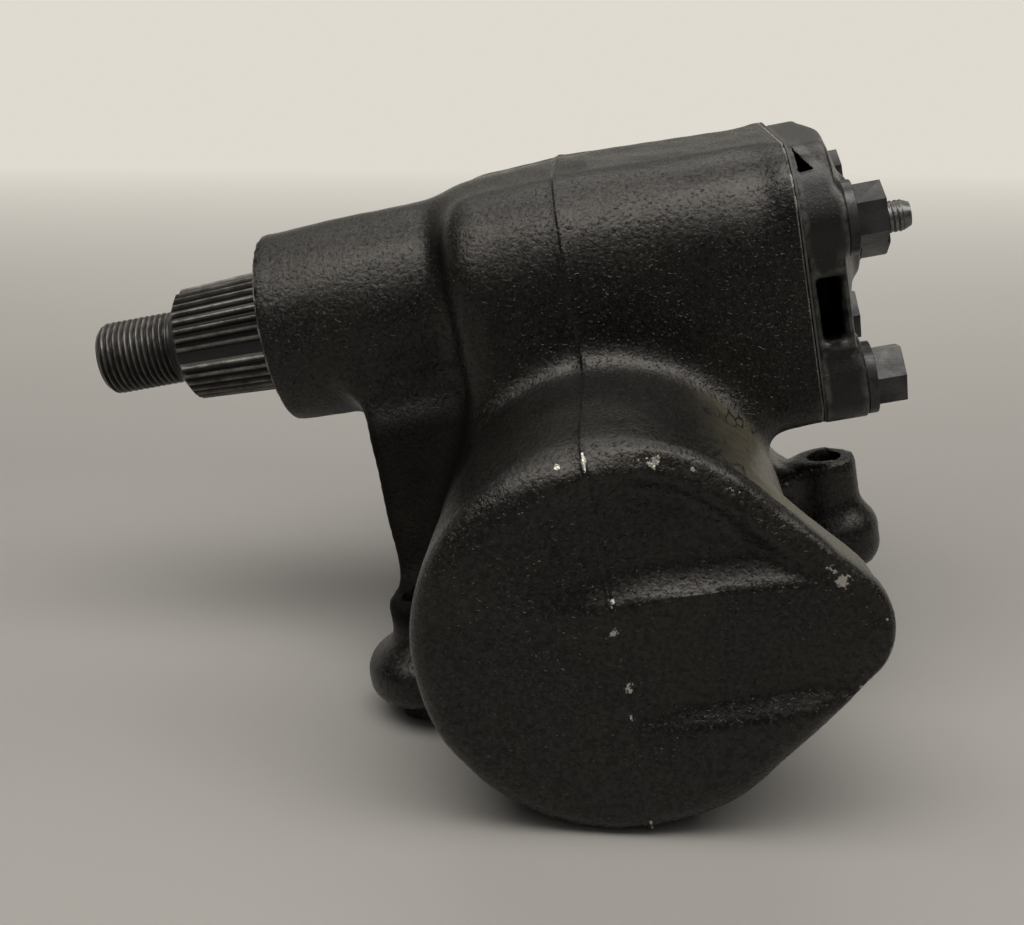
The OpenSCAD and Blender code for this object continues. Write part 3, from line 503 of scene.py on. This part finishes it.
def cad_copy(name, node, body, bevel=0.0, keep=None):
    """A copy of a CAD node's mesh with its loose triangles merged, edges bevelled, and if asked
    only the part to one side of a gear station, capped there: keep gives the station and the side,
    1 for the right and -1 for the left."""
    mesh = nodes_of[node].data.copy()
    mesh.name = name
    bm = bmesh.new()
    bm.from_mesh(mesh)
    bmesh.ops.remove_doubles(bm, verts=bm.verts, dist=2e-6)
    bmesh.ops.dissolve_limit(bm, angle_limit=0.002, verts=bm.verts, edges=bm.edges)
    if keep is not None:
        at = to_bench(np.array((keep[0], 0.0, 0.0)))
        geometry = bm.verts[:] + bm.edges[:] + bm.faces[:]
        normal = (keep[1] * COS, 0, keep[1] * SIN)
        cut = bmesh.ops.bisect_plane(bm, geom=geometry, dist=1e-7, plane_co=at, plane_no=normal,
                                     clear_inner=True)
        rim = [e for e in cut["geom_cut"] if isinstance(e, bmesh.types.BMEdge)]
        bmesh.ops.contextual_create(bm, geom=rim)
    bm.to_mesh(mesh)
    bm.free()
    mesh.materials.clear()
    mesh.shade_smooth()
    mesh.set_sharp_from_angle(angle=np.radians(30))
    ob = bpy.data.objects.new(name, mesh)
    scene.collection.objects.link(ob)
    if bevel:
        m = ob.modifiers.new("broken_edges", "BEVEL")
        m.width = bevel / 1000
        m.segments = 2
        m.limit_method = "ANGLE"
        m.angle_limit = np.radians(32)
        m.harden_normals = True
    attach(ob, body)
    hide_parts(node)
    return ob


# Finishes


class Nodes:
    """Builds one node finish: each call adds a node, sets its plain inputs and links the others."""

    def __init__(self, name):
        self.material = bpy.data.materials.new(name)
        self.material.use_nodes = True
        self.tree = self.material.node_tree
        self.tree.nodes.clear()
        self.out = self.tree.nodes.new("ShaderNodeOutputMaterial")
        self.shader = self.tree.nodes.new("ShaderNodeBsdfPrincipled")
        self.tree.links.new(self.shader.outputs[0], self.out.inputs[0])
        self.place = self.tree.nodes.new("ShaderNodeTexCoord").outputs["Object"]

    def add(self, kind, inputs=None, **settings):
        node = self.tree.nodes.new("ShaderNode" + kind)
        for key, value in settings.items():
            setattr(node, key, value)
        for key, value in (inputs or {}).items():
            self.put(node.inputs[key], value)
        return node

    def put(self, socket, value):
        if isinstance(value, bpy.types.NodeSocket):
            self.tree.links.new(value, socket)
        else:
            socket.default_value = value

    def noise(self, scale, detail=3.0, rough=0.55, place=None, distortion=0.0):
        return self.add("TexNoise", {"Vector": place or self.place, "Scale": scale, "Detail": detail,
                                     "Roughness": rough, "Distortion": distortion}).outputs["Fac"]

    def math(self, operation, a, b=0.0):
        return self.add("Math", {0: a, 1: b}, operation=operation).outputs[0]

    def curve(self, value, low, high, to_low=0.0, to_high=1.0):
        return self.add("MapRange", {"Value": value, "From Min": low, "From Max": high, "To Min": to_low,
                                     "To Max": to_high}, clamp=True).outputs[0]

    def mix(self, factor, a, b):
        node = self.add("Mix", None, data_type="RGBA")
        self.put(node.inputs[0], factor)
        self.put(node.inputs[6], a)
        self.put(node.inputs[7], b)
        return node.outputs[2]

    def split(self, vector):
        return self.add("SeparateXYZ", {"Vector": vector}).outputs[:]

    def mark(self, name):
        return self.add("Attribute", None, attribute_name=name, attribute_type="GEOMETRY").outputs["Fac"]

    def gear_place(self):
        """Object coordinates turned and shifted to the gear's axes, in metres from the worm axis."""
        across, along, up = SHIFT
        back = -np.array((across * COS + up * SIN, along, up * COS - across * SIN)) / 1000
        turn = {"Vector": self.place, "Location": tuple(back), "Rotation": (0, float(TILT), 0)}
        return self.add("Mapping", turn, vector_type="POINT").outputs[0]

    def stretched_place(self, scale):
        """Object coordinates drawn out or in along each axis."""
        return self.add("Mapping", {"Vector": self.place, "Scale": scale}, vector_type="POINT").outputs[0]

    def set(self, **values):
        for key, value in values.items():
            self.put(self.shader.inputs[key.replace("_", " ")], value)
        return self.material

    def bump(self, height, distance, strength=1.0):
        return self.add("Bump", {"Height": height, "Distance": distance, "Strength": strength}).outputs[0]


def colour(r, g, b):
    return (r, g, b, 1.0)


def sand_grain(n, size):
    """Skin of a sand casting under paint: two sizes of low grain, stronger in some places than in
    others, and sparse pimples that stand out of it."""
    coarse = n.noise(size, 3.0, 0.6)
    fine = n.noise(2.3 * size, 2.0, 0.6, distortion=0.4)
    height = n.math("ADD", coarse, n.math("MULTIPLY", fine, 0.45))
    pimples = n.curve(n.noise(1.5 * size, 1.0, 0.5), 0.62, 0.84)
    height = n.math("ADD", height, n.math("MULTIPLY", pimples, 1.1))
    strength = n.curve(n.noise(30.0, 2.0), 0.36, 0.62, 0.55, 1.0)
    return coarse, fine, n.math("MULTIPLY", height, strength)


def layer(n, paint, amount, tone):
    """One more coat over the paint, as thick as amount says."""
    return n.mix(amount, paint, colour(*tone))


# Nicks in the paint of the end face: places in metres from the worm axis, each with its reach
NICKS = (
    ((0.0006, -0.1045, 0.0112), 0.0006),
    ((-0.0002, -0.1045, 0.0050), 0.0009),
    ((0.0006, -0.1045, -0.0080), 0.0008),
    ((0.0460, -0.1015, 0.0070), 0.0013),
    ((-0.0375, -0.1010, -0.0168), 0.0011),
    ((0.0134, -0.1000, 0.0372), 0.0012),
    ((0.0440, -0.1010, 0.0095), 0.0008),
    ((-0.0010, -0.1000, 0.0388), 0.0008),
    ((0.0537, -0.0990, -0.0085), 0.0008),
)

# Tones laid over the paint
# painted glints: light grey specks that stand in for the sparkle of the grain
GLINT_GREY = (0.080, 0.075, 0.067)
NOOK_DIRT = (0.008, 0.007, 0.005)
# pale film: partly dust, partly painted light
DUST_AND_LIGHT_FILM = (0.090, 0.082, 0.058)
SEAM_DIRT = (0.006, 0.0055, 0.005)
# light edge lines: partly bare machined metal, partly painted highlight
MACHINED_EDGE_AND_HIGHLIGHT = (0.26, 0.25, 0.23)
# bare iron in the nicks and chips, and along the rim's top and right also painted highlight
BARE_IRON_AND_HIGHLIGHT = (0.42, 0.40, 0.36)


def cast_housing_paint():
    """Worn black paint on a sand casting: a dark coat with slow patches of oily brown, a grainy
    skin with warm gloss that varies with the grain and painted glints in light specks, a parting seam,
    light lines on machined edges that are partly bare metal and partly painted highlight, bright chips
    along the rim of the end face that along its top and right are also painted highlight, a pale
    crackled film on the swelling that is partly dust and partly painted light, dirt in the corners,
    and painted shade on the web under the boss, made by dulling its gloss."""
    n = Nodes("cast_black_paint")
    spot = n.gear_place()
    x, y, w = n.split(spot)
    patch = n.curve(n.noise(38.0, 4.0, 0.6), 0.42, 0.66)
    coarse, fine, height = sand_grain(n, 950.0)
    paint = n.mix(patch, colour(0.0020, 0.0019, 0.0019), colour(0.0056, 0.0049, 0.0034))
    # Painted glints: light specks in the fine grain, denser higher up on the box front and along the rim
    reach = n.math("ADD", n.curve(w, 0.015, 0.045, 0.06, 0.26), n.math("MULTIPLY", n.mark("rim"), 0.5))
    painted_glints = n.math("MULTIPLY", n.curve(fine, 0.60, 0.70), reach)
    paint = layer(n, paint, painted_glints, GLINT_GREY)
    paint = layer(n, paint, n.curve(n.mark("nook"), 0.1, 0.5, 0.0, 0.6), NOOK_DIRT)
    # Painted shade under the boss: the web loses most of its gloss and grows rougher, so it renders dark
    shade_under_boss = n.mark("shade_under_boss")
    unshaded_gloss = n.curve(shade_under_boss, 0.0, 1.0, 1.0, 0.15)
    rough = n.math("ADD", n.curve(coarse, 0.3, 0.7, 0.20, 0.36), n.math("MULTIPLY", shade_under_boss, 0.3))

    torn = n.noise(300.0, 4.0, 0.65)
    # Pale crackled film on the swelling: partly dust, partly painted light
    dust_and_light = n.math("MULTIPLY", n.mark("dust_and_light"), n.curve(torn, 0.30, 0.62, 0.55, 1.0))
    flakes = {"Vector": n.stretched_place((1.0, 0.45, 1.0)), "Scale": 330.0}
    border = n.add("TexVoronoi", flakes, feature="DISTANCE_TO_EDGE").outputs[0]
    cracked = n.curve(n.noise(90.0, 2.0), 0.50, 0.58)
    crack = n.math("MULTIPLY", n.curve(border, 0.03, 0.07, 1.0, 0.0), cracked)
    film = n.math("MULTIPLY", dust_and_light, n.math("SUBTRACT", 1.0, crack))
    paint = layer(n, paint, n.math("MULTIPLY", film, 0.8), DUST_AND_LIGHT_FILM)
    rough = n.math("ADD", rough, n.math("MULTIPLY", film, 0.12))

    seam = n.curve(n.math("ABSOLUTE", x), 0.0002, 0.0007, 1.0, 0.0)
    seam = n.math("MULTIPLY", seam, n.curve(n.noise(120.0, 3.0), 0.34, 0.52, 0.35, 1.0))
    paint = layer(n, paint, n.math("MULTIPLY", seam, 0.5), SEAM_DIRT)
    height = n.math("ADD", height, n.math("MULTIPLY", seam, 0.9))

    above = n.math("SUBTRACT", w, GAP / 1000)
    radius = n.math("SQRT", n.math("ADD", n.math("MULTIPLY", y, y), n.math("MULTIPLY", above, above)))
    # Light lines along the machined edges of the boss end and the flange: partly bare metal, partly
    # painted highlight on the edge
    boss_line = n.math("MULTIPLY", n.curve(x, -0.0783, -0.0786), n.curve(radius, 0.0238, 0.0241))
    flange_line = n.math("MULTIPLY", n.curve(x, 0.0528, 0.0531), n.curve(w, 0.010, 0.012))
    lines = n.math("MAXIMUM", boss_line, flange_line)
    lines = n.math("MULTIPLY", lines, n.curve(torn, 0.34, 0.56, 0.15, 0.75))
    paint = layer(n, paint, lines, MACHINED_EDGE_AND_HIGHLIGHT)

    # Bright chips: worn-through paint on the seam, the rim and the nicks, and along the rim's top and
    # right painted highlight as well
    chips_and_highlight = n.math("ADD", n.math("MULTIPLY", n.mark("rim"), 0.42), n.math("MULTIPLY", seam, 0.36))
    chips_and_highlight = n.math("ADD", chips_and_highlight, n.curve(torn, 0.3, 0.8, -0.2, 0.5))
    ragged = n.math("MULTIPLY", n.math("SUBTRACT", n.noise(900.0, 3.0, 0.6), 0.5), 0.0045)
    bare_and_highlight = n.curve(chips_and_highlight, 0.60, 0.64)
    for at, size in NICKS:
        gap = n.add("VectorMath", {0: spot, 1: at}, operation="DISTANCE").outputs["Value"]
        bare_and_highlight = n.math("MAXIMUM", bare_and_highlight, n.curve(n.math("ADD", gap, ragged), 0.8 * size, size, 1.0, 0.0))
    paint = layer(n, paint, bare_and_highlight, BARE_IRON_AND_HIGHLIGHT)
    shine = n.math("MULTIPLY", n.curve(coarse, 0.35, 0.65, 0.28, 0.50), unshaded_gloss)
    return n.set(Base_Color=paint, Roughness=rough, Metallic=n.math("MULTIPLY", bare_and_highlight, 0.7),
                 Specular_IOR_Level=shine, Specular_Tint=colour(1.0, 0.96, 0.915),
                 Normal=n.bump(height, 0.00029))


def cover_paint():
    """Black paint on the smoother casting of the cover, worn grey along its edges, with painted shade
    inside its windows and recesses: near black and almost without gloss.
    """
    n = Nodes("cover_black_paint")
    patch = n.curve(n.noise(60.0, 4.0, 0.6), 0.42, 0.66)
    coarse, _, height = sand_grain(n, 1400.0)
    paint = n.mix(patch, colour(0.0070, 0.0070, 0.0072), colour(0.0120, 0.0112, 0.0100))
    patchy = n.curve(n.noise(400.0, 4.0), 0.38, 0.62, 0.0, 0.5)
    rub = n.math("MULTIPLY", n.curve(n.mark("edge"), 0.12, 0.42), patchy)
    paint = layer(n, paint, rub, (0.105, 0.100, 0.092))
    paint = layer(n, paint, n.curve(n.mark("nook"), 0.15, 0.6, 0.0, 0.6), SEAM_DIRT)
    # Painted shade: the windows and recesses are painted near black and lose most of their gloss
    recess_shade = n.mark("recess_shade")
    paint = layer(n, paint, recess_shade, (0.002, 0.002, 0.002))
    return n.set(Base_Color=paint, Roughness=n.curve(coarse, 0.3, 0.7, 0.26, 0.40),
                 Specular_IOR_Level=n.curve(recess_shade, 0.0, 1.0, 0.35, 0.05),
                 Normal=n.bump(height, 0.00013, 0.8))


def arm_steel():
    """Dark oiled steel of the arm end: crests of thread and serrations worn bright in places,
    grooves filled with old grease; the light crests also paint in the glints of the teeth and the dark
    grooves their shade."""
    n = Nodes("arm_oiled_steel")
    crest = n.mark("crest")
    cloud = n.curve(n.noise(210.0, 4.0, 0.65), 0.34, 0.68)
    speck = n.noise(2400.0, 3.0, 0.6)
    crest_tone = n.mix(cloud, colour(0.060, 0.056, 0.052), colour(0.210, 0.198, 0.184))
    # Light crests and dark grooves: partly wear and grease, partly painted glints on the crests and
    # painted shade in the grooves
    tone = n.mix(n.curve(crest, 0.35, 1.0), colour(0.0085, 0.0078, 0.0070), crest_tone)
    tone = layer(n, tone, n.curve(speck, 0.52, 0.78, 0.0, 0.55), (0.018, 0.016, 0.014))
    return n.set(Base_Color=tone, Metallic=n.curve(crest, 0.3, 0.8, 0.15, 0.8),
                 Roughness=n.curve(speck, 0.3, 0.7, 0.30, 0.48), Normal=n.bump(speck, 0.00005, 0.6))


def bare_metal(name, light, dark, rough, metallic=0.9):
    """Handled steel: a dark oxide coat worn through in fine streaks and spots, with uneven gloss."""
    n = Nodes(name)
    cloud = n.curve(n.noise(170.0, 4.0, 0.65), 0.35, 0.68)
    speck = n.noise(2200.0, 2.0, 0.6)
    streak = n.noise(240.0, 5.0, 0.7, n.stretched_place((1.0, 9.0, 9.0)))
    tone = n.mix(cloud, colour(*dark), colour(*light))
    tone = n.mix(n.curve(speck, 0.5, 0.8, 0.0, 0.4), tone, colour(*(0.55 * c for c in dark)))
    gloss = n.curve(streak, 0.3, 0.7, rough - 0.1, rough + 0.12)
    gloss = n.math("ADD", gloss, n.curve(cloud, 0.0, 1.0, 0.05, -0.04))
    height = n.math("ADD", n.math("MULTIPLY", streak, 0.6), n.math("MULTIPLY", speck, 0.5))
    return n.set(Base_Color=tone, Metallic=metallic, Roughness=gloss, Normal=n.bump(height, 0.00006, 0.7))


def soft_black(name, tone):
    """Oil seal rubber or gasket: dark, dull, with a fine mottled skin."""
    n = Nodes(name)
    mottle = n.noise(420.0, 4.0, 0.6)
    shade = n.mix(n.curve(mottle, 0.35, 0.7), colour(*tone), colour(*(1.9 * c for c in tone)))
    return n.set(Base_Color=shade, Roughness=n.curve(mottle, 0.3, 0.7, 0.5, 0.75),
                 Normal=n.bump(mottle, 0.00008, 0.6))


FINISH = {
    "cast_black": cast_housing_paint(),
    "cover_black": cover_paint(),
    "arm_steel": arm_steel(),
    "gasket": soft_black("gasket_paper", (0.030, 0.028, 0.024)),
    "bolt_steel": bare_metal("bolt_black_oxide", (0.062, 0.060, 0.059), (0.020, 0.020, 0.021), 0.34, 0.6),
    "bright_steel": bare_metal("ground_steel", (0.50, 0.50, 0.50), (0.30, 0.30, 0.31), 0.26),
    "shaft_steel": bare_metal("shaft_oxide", (0.22, 0.215, 0.21), (0.065, 0.064, 0.064), 0.34),
    "bronze": bare_metal("bushing_bronze", (0.42, 0.29, 0.13), (0.27, 0.17, 0.07), 0.34),
    "seal_rubber": soft_black("seal_black_rubber", (0.012, 0.012, 0.013)),
    "ball_steel": bare_metal("ball_polish", (0.62, 0.62, 0.63), (0.50, 0.50, 0.51), 0.14, 1.0),
    "cage_brass": bare_metal("cage_brass", (0.50, 0.36, 0.15), (0.36, 0.25, 0.09), 0.32),
}


def dress(ob, slot):
    ob.data.materials.clear()
    ob.data.materials.append(FINISH[slot])


# The pieces

dress(make_housing(), "cast_black")
dress(make_cover(), "cover_black")
dress(make_shaft(), "arm_steel")
dress(cad_copy("sector_inner", "sector_shaft", "sector", keep=(SHAFT_CUT, 1)), "shaft_steel")
dress(cad_copy("lash_stud", "lash_screw", "case", keep=(STUB_CUT, -1)), "bright_steel")
dress(make_stub(), "shaft_steel")

# Bolts, washers and nuts from the CAD, with the width of their broken edges in millimetres
HARDWARE = (("cover_bolt_set", "cover_bolts", 0.22), ("cover_washer_set", "cover_washers", 0.25),
            ("lash_nut", "lash_locknut", 0.25), ("lash_plate", "lash_washer", 0.2),
            ("adjuster_ring", "adjuster_locknut", 0.35), ("adjuster_plug", "bearing_adjuster", 0.3))
for label, node, broken in HARDWARE:
    dress(cad_copy(label, node, "case", broken), "bolt_steel")

# CAD nodes that are shown as they are, by finish
SHOWN = {
    "gasket": ("cover_gasket",),
    "bronze": ("cover_bushing", "boss_bushing_outer", "boss_bushing_inner"),
    "bright_steel": ("lash_shim", "worm_shaft", "ball_nut", "return_guides", "guide_clamp",
                     "lower_bearing_cup", "upper_bearing_cup"),
    "bolt_steel": ("clamp_screws",),
    "seal_rubber": ("sector_seal", "worm_seal"),
    "ball_steel": ("circuit_balls", "lower_bearing_balls", "upper_bearing_balls"),
    "cage_brass": ("lower_bearing_cage", "upper_bearing_cage"),
}
for slot, names in SHOWN.items():
    for name in names:
        for holder in nodes_of[name].material_slots:
            holder.link = "OBJECT"
            holder.material = FINISH[slot]

# Floor, backdrop, light and camera


def make_floor():
    """A pale floor that curves up into a backdrop: a profile of a level run, a quarter round and a
    wall, carried along X. Its far ends glow for the camera and for reflections, so that the
    background stays pale."""
    s = np.linspace(0, 1, 60)
    level = np.stack((np.linspace(-2.5, 1.2, 20), np.zeros(20)), -1)
    bend = np.stack((1.2 + 0.6 * np.sin(np.pi / 2 * s), 0.6 - 0.6 * np.cos(np.pi / 2 * s)), -1)
    wall = np.stack((np.full(12, 1.8), np.linspace(0.7, 3.0, 12)), -1)
    line = np.concatenate((level, bend[1:], wall))
    across = np.linspace(-3.5, 3.5, 15)
    x, k = np.meshgrid(across, np.arange(len(line)), indexing="ij")
    p = np.stack((x, line[k, 0], line[k, 1]), -1).reshape(-1, 3)
    i, j = np.meshgrid(np.arange(len(across) - 1), np.arange(len(line) - 1), indexing="ij")
    a = i * len(line) + j
    quads = np.stack((a, a + len(line), a + len(line) + 1, a + 1), -1).reshape(-1, 4)
    mesh = bpy.data.meshes.new("studio_floor")
    mesh.from_pydata(p.tolist(), [], quads.tolist())
    mesh.shade_smooth()
    ob = bpy.data.objects.new("studio_floor", mesh)
    scene.collection.objects.link(ob)
    n = Nodes("floor_pale")
    cloud = n.noise(3.0, 3.0, 0.5)
    along, height = n.split(n.place)[1:]
    shade = n.mix(n.curve(cloud, 0.3, 0.7), colour(0.265, 0.256, 0.244), colour(0.285, 0.276, 0.263))
    mesh.materials.append(n.set(Base_Color=shade, Roughness=0.55))
    path = n.add("LightPath")
    seen = n.math("MAXIMUM", path.outputs["Is Camera Ray"], path.outputs["Is Glossy Ray"])
    seen = n.math("MAXIMUM", seen, path.outputs["Is Transmission Ray"])
    far = n.math("MULTIPLY", n.curve(along, 0.12, 1.0), n.curve(height, 0.16, 0.46, 1.0, 0.22))
    far = n.math("MAXIMUM", far, n.curve(along, -0.7, -1.9, 0.0, 0.55))
    pale = n.add("Emission", {"Color": colour(0.74, 0.705, 0.63), "Strength": 1.0})
    glow = n.math("MULTIPLY", seen, far)
    both = n.add("MixShader", {0: glow, 1: n.shader.outputs[0], 2: pale.outputs[0]})
    n.tree.links.new(both.outputs[0], n.out.inputs[0])


make_floor()


def placed(axes, spot):
    """Matrix of an object with these three axes at a spot."""
    rows = [[float(a[k]) for a in axes] + [float(spot[k])] for k in range(3)]
    return Matrix(rows + [[0.0, 0.0, 0.0, 1.0]])


LAMP_TONE = (1.0, 0.97, 0.92)


def area_light(name, place, target, size, power):
    """A soft oblong lamp at a place, facing a target."""
    data = bpy.data.lights.new(name, "AREA")
    data.shape = "RECTANGLE"
    data.size, data.size_y = size
    data.energy = power
    data.color = LAMP_TONE
    ob = bpy.data.objects.new(name, data)
    scene.collection.objects.link(ob)
    away = np.array(place, dtype=float) - np.array(target, dtype=float)
    away /= np.linalg.norm(away)
    right = np.cross((0.0, 1.0, 0.0) if abs(away[2]) > 0.95 else (0.0, 0.0, 1.0), away)
    right /= np.linalg.norm(right)
    up = np.cross(away, right)
    ob.matrix_world = placed((right, up, away), place)


area_light("soft_box", (0.15, -0.29, 1.02), (0.15, -0.03, 0.06), (2.00, 0.66), 19.5)
area_light("front_lamp", (0.0, -1.05, 0.80), (0.0, -0.05, 0.06), (1.60, 0.55), 1.5)
area_light("back_lamp", (0.0, 0.62, 0.95), (0.0, -0.03, 0.06), (1.20, 0.40), 3.4)

world = bpy.data.worlds.new("studio")
world.use_nodes = True
sky = world.node_tree.nodes["Background"]
sky.inputs["Color"].default_value = (0.80, 0.78, 0.74, 1.0)
sky.inputs["Strength"].default_value = 0.08
scene.world = world

# Camera fitted to the photo: focal length and width in pixels, its axes and its place on the bench
FOCAL_PIXELS, PHOTO_WIDTH, SENSOR = 1392, 1024, 36.0
camera_data = bpy.data.cameras.new("photo_camera")
camera_data.sensor_fit = "HORIZONTAL"
camera_data.sensor_width = SENSOR
camera_data.lens = FOCAL_PIXELS * SENSOR / PHOTO_WIDTH
camera_data.clip_start = 0.01
camera = bpy.data.objects.new("photo_camera", camera_data)
scene.collection.objects.link(camera)
right = np.array((0.99818, 0.0602, 0.0))
down = np.array((0.01944, -0.3232, -0.94614))
forward = np.array((-0.05698, 0.94441, -0.32379))
spot = (0.02638, -0.36444, 0.16905)
camera.matrix_world = placed((right, -down, -forward), spot)
scene.camera = camera

scene.view_settings.view_transform = "Standard"
